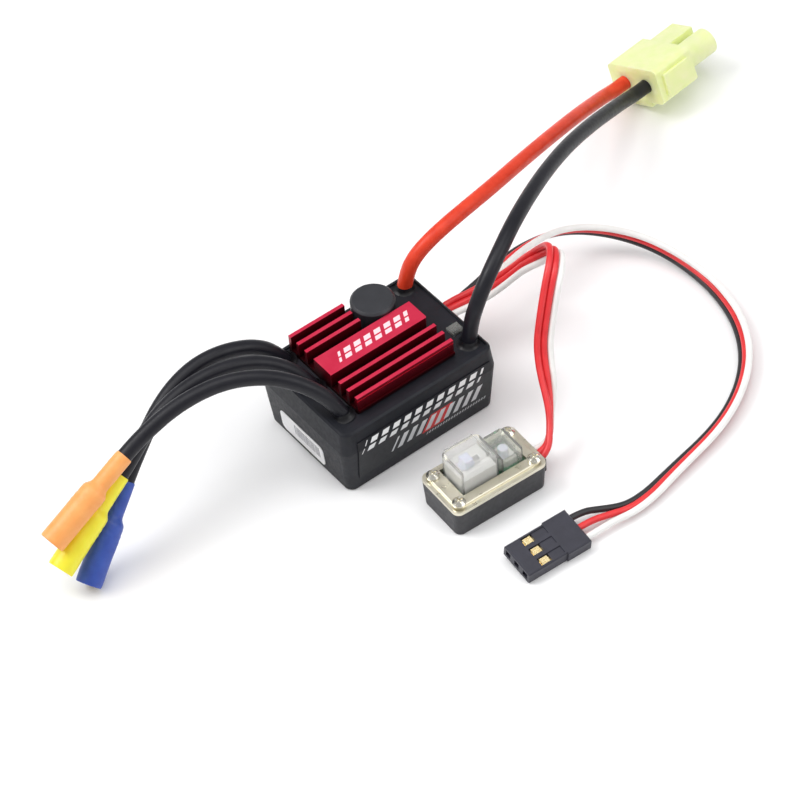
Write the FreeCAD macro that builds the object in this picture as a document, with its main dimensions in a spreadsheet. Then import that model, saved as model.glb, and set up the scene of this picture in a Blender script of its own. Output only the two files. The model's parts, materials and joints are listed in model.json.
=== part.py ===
import FreeCAD, Part
import Sketcher
import math
import os
import re

# Brushless electronic speed controller for a model car, with its leads and switch module.
# Millimetres, +Z up. The origin is the middle of the underside of the controller's case:
# +X runs along the case to the end where the battery and signal leads leave, and +Y runs
# to the side away from the label.

Vector = FreeCAD.Vector
DOC = FreeCAD.newDocument("speed_controller")
SHEET = DOC.addObject("Spreadsheet::Sheet", "Dims")
PARTS = {}

DIMENSIONS = {
    # controller case: base shell below the parting line, cover shell above it
    "case_length": 34.6, "case_depth": 25.4, "base_flare": 0.8, "parting_height": 11.0,
    "cover_height": 5.0, "cover_lean": 0.5, "corner_radius": 1.8, "wall": 1.3,
    "floor_thick": 1.2, "foot_round": 0.5, "rim_chamfer": 0.35,
    "roof_under": 14.2, "deck_drop": 0.35,
    "deck_left": -16.6, "deck_right": 17.0, "deck_front": -11.7, "deck_rear": 12.2,
    # circuit board and what it carries
    "board_under": 8.0, "board_thick": 1.2, "board_length": 31.0, "board_depth": 21.4,
    "post_radius": 1.3, "post_x": 13.6, "post_y": 9.0,
    "mosfet_length": 4.9, "mosfet_depth": 5.9, "mosfet_thick": 1.05,
    "mosfet_pitch_x": 5.6, "mosfet_pitch_y": 6.6, "mosfet_row": -2.5,
    "pad_thick": 1.0, "pad_length": 16.4, "pad_depth": 12.6,
    "controller_side": 7.0, "controller_thick": 1.0,
    "regulator_length": 6.5, "regulator_depth": 6.1, "regulator_thick": 2.3,
    # heat sink: fins and flat bar on a base that fills a window in the cover
    "sink_left": -11.7, "sink_right": 10.9, "sink_front": -9.57, "sink_rear": 11.76,
    "notch_x": 1.0, "notch_y": 3.82, "sink_floor": 16.3, "fin_top": 19.6,
    "fin_thick": 0.8, "fin_pitch": 2.515, "bar_front": -1.63, "flange": 0.25,
    "flange_under": 12.6, "window_gap": 0.1,
    # capacitor standing through the deck
    "can_x": 5.65, "can_y": 8.25, "can_radius": 3.75, "can_top": 19.9,
    "cap_radius": 4.35, "cap_under": 16.2, "cap_top": 20.5, "cap_chamfer": 0.45,
    # power leads, their holes in the deck and the compound that seals them
    "lead_radius": 1.5, "hole_radius": 1.8, "seal_under": 13.4, "seal_top": 16.05,
    "collar_radius": 2.0,
    "motor_x": -13.8, "motor_front": -8.0, "motor_middle": 0.9, "motor_rear": 10.1,
    "battery_red_x": 14.4, "battery_red_y": 10.2, "battery_black_x": 14.9, "battery_black_y": -8.9,
    # clear light window in the deck
    "lens_x": 15.0, "lens_y": -4.7, "lens_length": 2.6, "lens_depth": 2.3, "lens_top": 16.5,
    "lens_under": 10.4,
    # grommet for the two ribbons in the end wall
    "grommet_y": 4.1, "grommet_depth": 5.1, "grommet_under": 8.6, "grommet_top": 12.4,
    "grommet_inner": 15.9, "grommet_face": 18.45,
    # motor lead ends: heat shrink sleeve over a bullet socket
    "bullet_bore": 1.75, "bullet_radius": 2.25, "bullet_length": 11.2, "bullet_depth": 9.0,
    "tail_radius": 1.45, "sleeve_narrow": 1.65, "sleeve_wide": 2.5, "lead_inside": 2.5,
    "sleeve_step": 1.6, "sleeve_lip": 0.3,
    # battery connector
    "plug_width": 14.3, "plug_thick": 8.0, "plug_body": 10.5, "plug_tube": 5.8,
    "plug_tubes": 8.4, "plug_pitch": 6.2, "plug_bore": 1.9,
    "plug_hole_depth": 2.0, "contact_radius": 1.6, "contact_bore": 0.9,
    # signal ribbons
    "strand_radius": 0.625, "strand_pitch": 1.3, "pin_pitch": 2.54,
    # receiver plug
    "servo_length": 14.0, "servo_front": 7.7, "servo_rear": 8.3, "servo_thick": 2.6,
    "servo_wide": 5.25, "servo_chamfer": 0.25, "servo_socket": 1.3, "servo_window": 1.7,
    # switch module
    "base_length": 20.4, "base_depth": 11.4, "base_height": 6.0, "base_grow": 0.3,
    "base_round": 1.5, "base_wall": 1.1, "plate_flange": 0.7, "plate_land": 0.5,
    "plate_inset": 0.9, "window_left": -6.9, "window_right": 7.6, "window_front": -3.1,
    "window_rear": 4.6, "switch_screw_x": 8.6, "switch_screw_y": 4.1, "screw_head": 1.3,
    "screw_shank": 0.7, "screw_dome": 0.9, "switch_board_under": 4.5, "switch_board_thick": 0.8,
    "switch_board_length": 18.0, "switch_board_depth": 9.0,
    "hood_x": -2.35, "hood_y": 0.75, "hood_length": 8.5, "hood_depth": 7.3, "hood_top": 12.2,
    "hood_wall": 0.6, "tier_top": 13.0, "tier_length": 6.4, "tier_depth": 5.8,
    "slide_length": 7.1, "slide_depth": 5.9, "slide_top": 9.6,
    "knob_length": 1.9, "knob_depth": 2.2, "knob_top": 11.7, "knob_travel": 2.0,
    "small_x": 4.9, "small_y": 0.7, "small_length": 5.0, "small_depth": 7.0, "small_top": 10.0,
    "button_side": 3.6, "button_top": 7.2, "plunger_radius": 1.0, "plunger_top": 8.7,
    "button_travel": 0.3, "run_gap": 0.1,
    "gland_y": -2.1, "gland_depth": 5.3, "gland_under": 2.8, "gland_face": 11.0,
}


def fill_sheet():
    """Write each driving dimension into the sheet as plain text with its alias."""
    for row, (alias, number) in enumerate(DIMENSIONS.items(), start=1):
        SHEET.set(f"A{row}", alias)
        SHEET.set(f"B{row}", str(number))
        SHEET.setAlias(f"B{row}", alias)
    DOC.recompute()


def dim(alias):
    """A dimension read back from the sheet."""
    return float(SHEET.get(alias))


def formula(text):
    """An expression with the sheet's name put before every alias in it."""
    def named(match):
        word = match.group()
        return "Dims." + word if word in DIMENSIONS else word
    return re.sub(r"[A-Za-z_]\w*", named, str(text))


def value(text):
    """The value of an expression, worked out by the sheet."""
    return float(SHEET.evalExpression(formula(text)))


# ---------------------------------------------------------------- modelling helpers

def new_body(label):
    """An empty body that becomes the sub-part of that name."""
    body = DOC.addObject("PartDesign::Body", label)
    body.Label = label
    PARTS[label] = body
    return body


def attached_sketch(body, role, offset):
    """A sketch on one of the body's origin planes, moved along its normal."""
    plane = [item for item in body.Origin.OriginFeatures if item.Role == role][0]
    sketch = body.newObject("Sketcher::SketchObject", body.Name + "_sketch")
    sketch.AttachmentSupport = (plane, [""])
    sketch.MapMode = "FlatFace"
    sketch.setExpression(".AttachmentOffset.Base.z", formula(offset))
    return sketch


def tie(sketch, kind, first, second, text):
    """A distance constraint that follows an expression of the sheet."""
    index = sketch.addConstraint(Sketcher.Constraint(kind, *first, *second, 1.0))
    name = f"{kind}_{index}"
    sketch.renameConstraint(index, name)
    sketch.setExpression("Constraints." + name, formula(text))


def add_outline(sketch, corners):
    """Close a polygon whose corners are pairs of expressions."""
    start = sketch.GeometryCount
    count = len(corners)
    places = [(value(x), value(y)) for x, y in corners]
    for i in range(count):
        here, there = places[i], places[(i + 1) % count]
        sketch.addGeometry(Part.LineSegment(Vector(*here, 0), Vector(*there, 0)), False)
    for i in range(count):
        following = start + (i + 1) % count
        sketch.addConstraint(Sketcher.Constraint("Coincident", start + i, 2, following, 1))
    for i, (x, y) in enumerate(corners):
        tie(sketch, "DistanceX", (-1, 1), (start + i, 1), x)
        tie(sketch, "DistanceY", (-1, 1), (start + i, 1), y)


def add_circle(sketch, x, y, radius):
    """A circle whose centre and radius are expressions."""
    centre = Vector(value(x), value(y), 0)
    index = sketch.addGeometry(Part.Circle(centre, Vector(0, 0, 1), value(radius)), False)
    tie(sketch, "DistanceX", (-1, 1), (index, 3), x)
    tie(sketch, "DistanceY", (-1, 1), (index, 3), y)
    constraint = sketch.addConstraint(Sketcher.Constraint("Radius", index, value(radius)))
    name = f"Radius_{constraint}"
    sketch.renameConstraint(constraint, name)
    sketch.setExpression("Constraints." + name, formula(radius))


def block(x, y, length, depth):
    """The four corners of a rectangle about a centre, as expressions."""
    left, right = f"({x}) - ({length}) / 2", f"({x}) + ({length}) / 2"
    front, rear = f"({y}) - ({depth}) / 2", f"({y}) + ({depth}) / 2"
    return [(left, front), (right, front), (right, rear), (left, rear)]


def span(left, right, front, rear):
    """The four corners of a rectangle between four edges, as expressions."""
    return [(left, front), (right, front), (right, rear), (left, rear)]


def extrude(body, kind, role, offset, length, outlines, circles, taper, reverse):
    """Pad or pocket a set of outlines and circles drawn in one sketch."""
    sketch = attached_sketch(body, role, offset)
    for corners in outlines:
        add_outline(sketch, corners)
    for x, y, radius in circles:
        add_circle(sketch, x, y, radius)
    feature = body.newObject("PartDesign::" + kind, f"{body.Name}_{kind.lower()}")
    feature.Profile = sketch
    feature.setExpression("Length", formula(length))
    if taper is not None:
        feature.setExpression("TaperAngle", formula(taper))
    feature.Reversed = reverse
    body.Tip = feature
    DOC.recompute()
    if "Invalid" in feature.State:
        raise RuntimeError(feature.Name + " failed")
    return feature


def pad(body, under, height, outlines=(), circles=(), taper=None, role="XY_Plane", reverse=False):
    """Add material above a level."""
    return extrude(body, "Pad", role, under, height, outlines, circles, taper, reverse)


def pocket(body, top, depth, outlines=(), circles=(), taper=None, role="XY_Plane", reverse=False):
    """Remove material below a level, or above it when reversed, and check that some went."""
    before = body.Shape.Volume
    feature = extrude(body, "Pocket", role, top, depth, outlines, circles, taper, reverse)
    if body.Shape.Volume > before - 1e-3:
        raise RuntimeError(feature.Name + " removes nothing")
    return feature


def dress(body, kind, size, chosen):
    """Round or chamfer the edges of the body that the test chooses."""
    prop = "Radius" if kind == "Fillet" else "Size"
    names = [f"Edge{i}" for i, edge in enumerate(body.Shape.Edges, start=1) if chosen(edge)]
    if not names:
        raise RuntimeError("no edges chosen on " + body.Label)
    base = body.Tip
    feature = body.newObject("PartDesign::" + kind, f"{body.Name}_{kind.lower()}")
    feature.Base = (base, names)
    feature.setExpression(prop, formula(size))
    body.Tip = feature
    DOC.recompute()
    return feature


def upright(edge, low, high):
    """True for an edge that runs from one level to another."""
    box = edge.BoundBox
    return abs(box.ZMin - low) < 0.02 and abs(box.ZMax - high) < 0.02


def level(edge, height):
    """True for an edge that lies at one level."""
    box = edge.BoundBox
    return abs(box.ZMin - height) < 0.02 and abs(box.ZMax - height) < 0.02


def tagged(kind, name, **texts):
    """A Part primitive whose properties follow expressions."""
    made = DOC.addObject("Part::" + kind, name)
    for prop, text in texts.items():
        made.setExpression(prop, formula(text))
    return made


def moved(made, x="0", y="0", z="0"):
    """Bind a primitive's position to expressions."""
    for axis, text in (("x", x), ("y", y), ("z", z)):
        made.setExpression(".Placement.Base." + axis, formula(text))
    return made


def slab(name, x, y, under, length, depth, height):
    """A box centred on x and y."""
    made = tagged("Box", name, Length=length, Width=depth, Height=height)
    return moved(made, f"({x}) - ({length}) / 2", f"({y}) - ({depth}) / 2", under)


def peg(name, x, y, under, radius, height):
    """An upright cylinder."""
    return moved(tagged("Cylinder", name, Radius=radius, Height=height), x, y, under)


def joined(label, pieces, keep=True):
    """Several solids as one sub-part: fused where they touch, separate where they don't."""
    made = DOC.addObject("Part::MultiFuse", label)
    made.Shapes = pieces
    return remember(label, made) if keep else made


def less(label, whole, tool, keep=True):
    """One solid with another cut out of it."""
    made = DOC.addObject("Part::Cut", label)
    made.Base = whole
    made.Tool = tool
    return remember(label, made) if keep else made


def remember(label, made):
    """Name a finished sub-part and list it."""
    made.Label = label
    PARTS[label] = made
    return made


def set_down(place, *labels):
    """Move finished sub-parts from their own frame to where they lie."""
    for label in labels:
        PARTS[label].Placement = place


def turned(x, y, z, yaw, pitch=0.0, roll=0.0):
    """A place at a point, turned by yaw, pitch and roll in degrees."""
    return FreeCAD.Placement(Vector(x, y, z), FreeCAD.Rotation(yaw, pitch, roll))


# ---------------------------------------------------------------- controller case

def make_case_base():
    """Lower shell: drafted walls, board posts and half of the ribbon opening."""
    body = new_body("case_base")
    draft = "atan(base_flare / parting_height)"
    pad(body, "0", "parting_height", [block("0", "0", "case_length", "case_depth")], taper=draft)
    top = dim("parting_height")
    dress(body, "Fillet", "corner_radius", lambda edge: upright(edge, 0, top))
    dress(body, "Fillet", "foot_round", lambda edge: level(edge, 0))
    inner_length = "case_length + 2 * base_flare - 2 * wall"
    inner_depth = "case_depth + 2 * base_flare - 2 * wall"
    pocket(body, "parting_height", "parting_height - floor_thick",
           [block("0", "0", inner_length, inner_depth)], taper="-atan(base_flare / parting_height)")
    posts = [(f"{i} * post_x", f"{j} * post_y", "post_radius") for i in (-1, 1) for j in (-1, 1)]
    pad(body, "floor_thick", "board_under - floor_thick", circles=posts)
    opening = span("grommet_inner", "grommet_face + 1", "grommet_y - grommet_depth / 2",
                   "grommet_y + grommet_depth / 2")
    pocket(body, "parting_height", "parting_height - grommet_under", [opening])


def sink_outline(grow):
    """Plan of the heat sink, a rectangle with a corner left out for the capacitor."""
    return [(f"sink_left - ({grow})", f"sink_front - ({grow})"),
            (f"sink_right + ({grow})", f"sink_front - ({grow})"),
            (f"sink_right + ({grow})", f"notch_y + ({grow})"),
            (f"notch_x + ({grow})", f"notch_y + ({grow})"),
            (f"notch_x + ({grow})", f"sink_rear + ({grow})"),
            (f"sink_left - ({grow})", f"sink_rear + ({grow})")]


def lead_holes():
    """Centres of the five power lead holes, as expressions."""
    return [("motor_x", "motor_front"), ("motor_x", "motor_middle"), ("motor_x", "motor_rear"),
            ("battery_red_x", "battery_red_y"), ("battery_black_x", "battery_black_y")]


def make_case_cover():
    """Upper shell: leaning walls, sunk deck, window for the heat sink and the lead holes."""
    body = new_body("case_cover")
    lower, upper = dim("parting_height"), dim("parting_height") + dim("cover_height")
    length = "(case_length + 2 * base_flare)"
    depth = "(case_depth + 2 * base_flare)"
    pad(body, "parting_height", "cover_height", [block("0", "0", length, depth)],
        taper="-atan(cover_lean / cover_height)")
    dress(body, "Fillet", "corner_radius", lambda edge: upright(edge, lower, upper))
    dress(body, "Chamfer", "rim_chamfer", lambda edge: level(edge, upper))
    rim = "(parting_height + cover_height)"
    pocket(body, rim, "deck_drop", [span("deck_left", "deck_right", "deck_front", "deck_rear")])
    inner = block("0", "0", f"{length} - 2 * wall - 0.2", f"{depth} - 2 * wall - 0.2")
    pocket(body, "parting_height", "roof_under - parting_height", [inner], reverse=True)
    pocket(body, rim, f"{rim} - roof_under + 0.5", [sink_outline("window_gap")])
    holes = [(x, y, "hole_radius") for x, y in lead_holes()]
    pocket(body, rim, f"{rim} - roof_under + 0.5", circles=holes)
    pocket(body, rim, f"{rim} - roof_under + 0.5", circles=[("can_x", "can_y", "cap_radius + 0.1")])
    lens = block("lens_x", "lens_y", "lens_length + 0.1", "lens_depth + 0.1")
    pocket(body, rim, f"{rim} - roof_under + 0.5", [lens])
    opening = span("grommet_inner", "grommet_face + 1", "grommet_y - grommet_depth / 2",
                   "grommet_y + grommet_depth / 2")
    pocket(body, "parting_height", "grommet_top - parting_height", [opening], reverse=True)


def fin(front, left="sink_left", right="sink_right"):
    """Plan of one fin from its front face."""
    return span(left, right, front, f"{front} + fin_thick")


def repeat_fins(body, feature, direction_back):
    """Repeat a fin twice at the fin pitch."""
    pattern = body.newObject("PartDesign::LinearPattern", body.Name + "_row")
    pattern.Originals = [feature]
    axis = [item for item in body.Origin.OriginFeatures if item.Role == "Y_Axis"][0]
    pattern.Direction = (axis, [""])
    pattern.Reversed = direction_back
    pattern.setExpression("Length", formula("2 * fin_pitch"))
    pattern.Occurrences = 3
    body.Tip = pattern
    DOC.recompute()


def make_heatsink():
    """Anodised extrusion: base, flat bar, three full fins in front and three short ones behind."""
    body = new_body("heatsink")
    rise = "fin_top - sink_floor"
    pad(body, "flange_under", "roof_under - flange_under - 0.05", [sink_outline("flange")])
    pad(body, "roof_under - 0.06", "sink_floor - roof_under + 0.06", [sink_outline("0")])
    pad(body, "board_under + board_thick + mosfet_thick + pad_thick",
        "flange_under - board_under - board_thick - mosfet_thick - pad_thick + 0.01",
        [block("0", "mosfet_row", "pad_length", "pad_depth")])
    pad(body, "sink_floor - 0.01", f"{rise} + 0.01",
        [span("sink_left", "sink_right", "bar_front", "notch_y")])
    bar_top = dim("fin_top")
    dress(body, "Fillet", "fin_thick / 2",
          lambda edge: upright(edge, dim("sink_floor"), bar_top) and edge.BoundBox.Center.x > 0)
    first = pad(body, "sink_floor - 0.01", f"{rise} + 0.01", [fin("sink_front")])
    repeat_fins(body, first, False)
    rear = pad(body, "sink_floor - 0.01", f"{rise} + 0.01",
               [fin("sink_rear - 2 * fin_pitch - fin_thick", right="notch_x")])
    repeat_fins(body, rear, False)
    foot = span("sink_left", "sink_right", "sink_front - 0.4", "sink_front + 0.1")
    pad(body, "sink_floor - 0.3", "0.7", [foot])
    groove = span("sink_left - 1", "sink_right + 1", "sink_front - 1", "sink_front + 0.15")
    pocket(body, "fin_top - 0.55", "0.3", [groove])


def make_capacitor():
    """Electrolytic capacitor: the can, and the black cap pushed over its top."""
    foot = "(board_under + board_thick)"
    body = new_body("capacitor_can")
    pad(body, foot, f"can_top - {foot}", circles=[("can_x", "can_y", "can_radius")])
    dress(body, "Fillet", "cap_chamfer", lambda edge: level(edge, dim("can_top")))
    cap = new_body("capacitor_cap")
    pad(cap, "cap_under", "cap_top - cap_under", circles=[("can_x", "can_y", "cap_radius")])
    dress(cap, "Chamfer", "cap_chamfer", lambda edge: level(edge, dim("cap_top")))
    pocket(cap, "cap_under", "can_top - cap_under", circles=[("can_x", "can_y", "can_radius")],
           reverse=True)


def make_circuit():
    """Main board with its transistors, pad, controller chip, regulator and light."""
    board = new_body("main_board")
    pad(board, "board_under", "board_thick", [block("0", "0", "board_length", "board_depth")])
    low, high = dim("board_under"), dim("board_under") + dim("board_thick")
    dress(board, "Fillet", "corner_radius / 2", lambda edge: upright(edge, low, high))
    face = "(board_under + board_thick)"
    chips = []
    for i in (-1, 0, 1):
        for j in (-0.5, 0.5):
            chips.append(slab(f"mosfet_{len(chips)}", f"{i} * mosfet_pitch_x",
                              f"mosfet_row + {j} * mosfet_pitch_y", face,
                              "mosfet_length", "mosfet_depth", "mosfet_thick"))
    joined("power_transistors", chips)
    gap_pad = new_body("thermal_pad")
    pad(gap_pad, f"{face} + mosfet_thick", "pad_thick",
        [block("0", "mosfet_row", "pad_length", "pad_depth")])
    chip = new_body("control_chip")
    pad(chip, "board_under - controller_thick", "controller_thick",
        [block("-5", "3", "controller_side", "controller_side")])
    dress(chip, "Chamfer", "0.15", lambda edge: level(edge, dim("board_under") - dim("controller_thick")))
    body_under = "board_under - regulator_thick"
    case = slab("regulator_case", "7", "3", body_under, "regulator_length", "regulator_depth",
                "regulator_thick")
    tab = slab("regulator_tab", "7", "3 + regulator_depth / 2 + 0.5", "board_under - 0.5",
               "5.2", "1.2", "0.5")
    joined("bec_regulator", [case, tab])
    joined("status_light", [slab("light_chip", "14.3", "lens_y", face, "1.6", "0.8", "0.7"),
                            slab("light_dome", "14.3", "lens_y", face, "1.0", "0.8", "0.9")])


def make_lens():
    """Clear light window: a flanged column with a bevelled block above the deck."""
    body = new_body("light_window")
    pad(body, "lens_under", "lens_top - lens_under",
        [block("lens_x", "lens_y", "lens_length", "lens_depth")])
    dress(body, "Chamfer", "0.3", lambda edge: level(edge, dim("lens_top")))


POWER_LEADS = ("motor_lead_a", "motor_lead_b", "motor_lead_c", "battery_lead_red",
               "battery_lead_black")


def make_seals():
    """Compound round each power lead: a plug in the hole with a low collar on the deck."""
    pieces = []
    deck = "(parting_height + cover_height - deck_drop)"
    for i, ((x, y), lead) in enumerate(zip(lead_holes(), POWER_LEADS)):
        stem = peg(f"seal_stem_{i}", x, y, "seal_under", "hole_radius", f"{deck} - seal_under")
        collar = peg(f"seal_collar_{i}", x, y, deck, "collar_radius", f"seal_top - ({deck})")
        whole = joined(f"seal_whole_{i}", [stem, collar], keep=False)
        pieces.append(less(f"seal_{i}", whole, PARTS[lead], keep=False))
    joined("lead_seals", pieces)


def make_grommet():
    """Rubber block that carries the two ribbons through the end wall."""
    body = new_body("ribbon_grommet")
    outline = span("grommet_inner + 0.05", "grommet_face", "grommet_y - grommet_depth / 2 + 0.02",
                   "grommet_y + grommet_depth / 2 - 0.02")
    pad(body, "grommet_under + 0.02", "grommet_top - grommet_under - 0.04", [outline])
    face = dim("grommet_face")
    dress(body, "Fillet", "0.3", lambda edge: edge.BoundBox.XMin > face - 0.01)


def make_labels():
    """Label panel that follows the front face, and the small label on the left end."""
    face = "-(case_depth / 2 + {} * base_flare / parting_height)"
    upper = "-(case_depth / 2 + base_flare - {} * cover_lean / cover_height)"
    low, high = face.format("3.2"), upper.format("2.2")
    middle = "-(case_depth / 2 + base_flare)"
    outline = [(f"{low} - 0.02", "3.2"), (f"{low} - 0.2", "3.2"), (f"{middle} - 0.2", "parting_height"),
               (f"{high} - 0.2", "parting_height + 2.2"), (f"{high} - 0.02", "parting_height + 2.2"),
               (f"{middle} - 0.02", "parting_height")]
    panel = new_body("front_label")
    pad(panel, "-15.2", "31.4", [outline], role="YZ_Plane")
    end = "-(case_length / 2 + {} * base_flare / parting_height)"
    low, high = end.format("1.5"), end.format("6.8")
    outline = [(f"{low} - 0.02", "1.5"), (f"{low} - 0.14", "1.5"), (f"{high} - 0.14", "6.8"),
               (f"{high} - 0.02", "6.8")]
    small = new_body("end_label")
    pad(small, "-8", "13.5", [outline], role="XZ_Plane")
    dress(small, "Fillet", "1.2", lambda edge: edge.Length < 0.3 and abs(edge.BoundBox.YLength) < 0.01)


# ---------------------------------------------------------------- cords

def unit(vector):
    """The vector at length one."""
    return Vector(vector).normalize()


def route_runs(points):
    """Corner data of a route: tangent length and arc radius at each inner point."""
    corners = []
    for before, here, after in zip(points[:-2], points[1:-1], points[2:]):
        run_in, run_out = here - before, after - here
        turn = run_in.getAngle(run_out)
        tangent = 0.45 * min(run_in.Length, run_out.Length)
        corners.append((tangent, tangent / math.tan(turn / 2)))
    return corners


def tube(label, points, radius):
    """A cord: straight runs joined by tangent arcs, swept with a round section."""
    points = [Vector(*point) for point in points]
    corners = route_runs(points)
    edges = []
    start = points[0]
    for here, before, after, (tangent, _) in zip(points[1:-1], points[:-2], points[2:], corners):
        enter = here + unit(before - here) * tangent
        leave = here + unit(after - here) * tangent
        half = (here - enter).getAngle(leave - here) / 2
        bisector = unit((enter - here) + (leave - here))
        middle = here + bisector * (tangent * (1 / math.cos(half) - 1) / math.tan(half))
        edges.append(Part.LineSegment(start, enter).toShape())
        edges.append(Part.Arc(enter, middle, leave).toShape())
        start = leave
    edges.append(Part.LineSegment(start, points[-1]).toShape())
    path = Part.Wire(edges)
    section = Part.Wire([Part.Circle(points[0], points[1] - points[0], radius).toShape()])
    solid = path.makePipeShell([section], True, False)
    expected = math.pi * radius ** 2 * path.Length
    sharpest = min(bend for _, bend in corners)
    print(f"{label:24s} length {path.Length:6.1f}  smallest radius {sharpest:5.1f}"
          f" = {sharpest / (2 * radius):4.1f} diameters  volume ratio {solid.Volume / expected:.4f}")
    if abs(solid.Volume / expected - 1) > 0.01:
        raise RuntimeError(label + " has the wrong volume")
    made = DOC.addObject("Part::Feature", label)
    made.Shape = solid
    return remember(label, made)


# Motor leads: up out of the deck, over the left end and down to their sleeves.
MOTOR_ROUTES = {
    "a": [(-13.8, -8.0, 15.3), (-15.1, -6.6, 18.9), (-17.3, -4.6, 22.0), (-20.3, -2.3, 24.6),
          (-23.8, 0.1, 26.4), (-27.8, 2.1, 27.4), (-32.1, 3.8, 27.6), (-36.6, 4.9, 27.2),
          (-41.4, 5.6, 26.2), (-46.1, 5.8, 24.7)],
    "b": [(-13.8, 0.9, 15.3), (-15.4, 2.6, 18.6), (-17.9, 4.4, 21.4), (-21.3, 6.2, 23.6),
          (-25.3, 7.6, 24.9), (-29.8, 8.6, 25.4), (-34.6, 9.2, 25.1), (-39.6, 9.3, 24.0),
          (-44.2, 8.7, 22.4), (-48.2, 7.7, 20.4)],
    "c": [(-13.8, 10.1, 15.3), (-15.8, 10.7, 18.9), (-18.8, 11.6, 21.7), (-22.8, 12.4, 23.4),
          (-27.3, 13.1, 24.2), (-31.9, 13.3, 24.1), (-36.5, 12.8, 23.1), (-40.8, 11.8, 21.4),
          (-44.7, 10.3, 19.4), (-47.9, 8.9, 17.3)],
}
# Sleeves: back end, mouth centre and name of the colour.
SLEEVES = {
    "a": ((-53.1, 5.3, 22.1), (-71.8, 2.9, 14.5), "orange"),
    "b": ((-54.2, 6.0, 17.0), (-71.8, 1.8, 7.9), "yellow"),
    "c": ((-52.9, 6.7, 13.8), (-67.8, -0.0, 2.0), "blue"),
}


def make_motor_lead(name):
    """One motor lead with its bullet socket and coloured sleeve."""
    back, mouth, colour = SLEEVES[name]
    back, mouth = Vector(*back), Vector(*mouth)
    along = unit(mouth - back)
    length = (mouth - back).Length
    inside = dim("lead_inside")
    points = MOTOR_ROUTES[name] + [tuple(back - along * inside), tuple(back + along * inside)]
    tube("motor_lead_" + name, points, dim("lead_radius"))

    place = FreeCAD.Placement(back, FreeCAD.Rotation(Vector(0, 0, 1), along))
    total = f"{length:.3f}"
    bullet = f"({total} - bullet_length - sleeve_lip)"
    barrel = peg("barrel_" + name, "0", "0", bullet, "bullet_radius", "bullet_length")
    tail = peg("tail_" + name, "0", "0", "lead_inside", "tail_radius",
               f"{bullet} - lead_inside + 0.5")
    bore = peg("bore_" + name, "0", "0", f"{total} - sleeve_lip - bullet_depth", "bullet_bore",
               "bullet_depth + 1")
    whole = joined("bullet_whole_" + name, [barrel, tail], keep=False)
    less("bullet_socket_" + name, whole, bore)

    narrow = f"({bullet} - sleeve_step)"
    slim = peg("slim_" + name, "0", "0", "0", "sleeve_narrow", narrow)
    step = moved(tagged("Cone", "step_" + name, Radius1="sleeve_narrow", Radius2="sleeve_wide",
                        Height="sleeve_step"), z=narrow)
    wide = peg("wide_" + name, "0", "0", f"{narrow} + sleeve_step", "sleeve_wide",
               "bullet_length + sleeve_lip")
    outer = joined("sleeve_whole_" + name, [slim, step, wide], keep=False)
    hollow = [peg("slim_bore_" + name, "0", "0", "-1", "lead_radius", f"{total} + 2"),
              peg("wide_bore_" + name, "0", "0", bullet, "bullet_radius", "bullet_length + 2")]
    less(colour + "_sleeve", outer, joined("sleeve_bore_" + name, hollow, keep=False))
    set_down(place, "bullet_socket_" + name, colour + "_sleeve")


# Battery leads: up out of the deck at the right end, then a long arch to the connector.
BATTERY_ROUTES = {
    "red": [(14.4, 10.2, 15.3), (15.3, 10.2, 19.3), (17.4, 9.9, 22.8), (20.7, 9.5, 25.2),
            (25.0, 9.6, 26.5), (30.6, 10.4, 26.8), (38.6, 12.4, 25.9), (48.8, 16.2, 23.4),
            (60.2, 21.2, 19.2), (71.4, 26.7, 14.0), (79.4, 31.0, 9.4), (84.6, 33.6, 6.6)],
    "black": [(14.9, -8.9, 15.3), (15.6, -8.9, 20.2), (17.6, -8.8, 24.8), (21.0, -7.9, 28.6),
              (25.7, -5.9, 31.0), (31.5, -2.7, 31.9), (39.0, 1.9, 30.6), (48.0, 7.5, 27.7),
              (58.4, 13.7, 23.3), (69.3, 19.5, 18.0), (78.4, 24.1, 13.1), (84.6, 27.3, 9.6)],
}
CONNECTOR = (92.0, 32.2, 6.45)
CONNECTOR_YAW = 7.0
CONNECTOR_ROLL = -22.0


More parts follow.
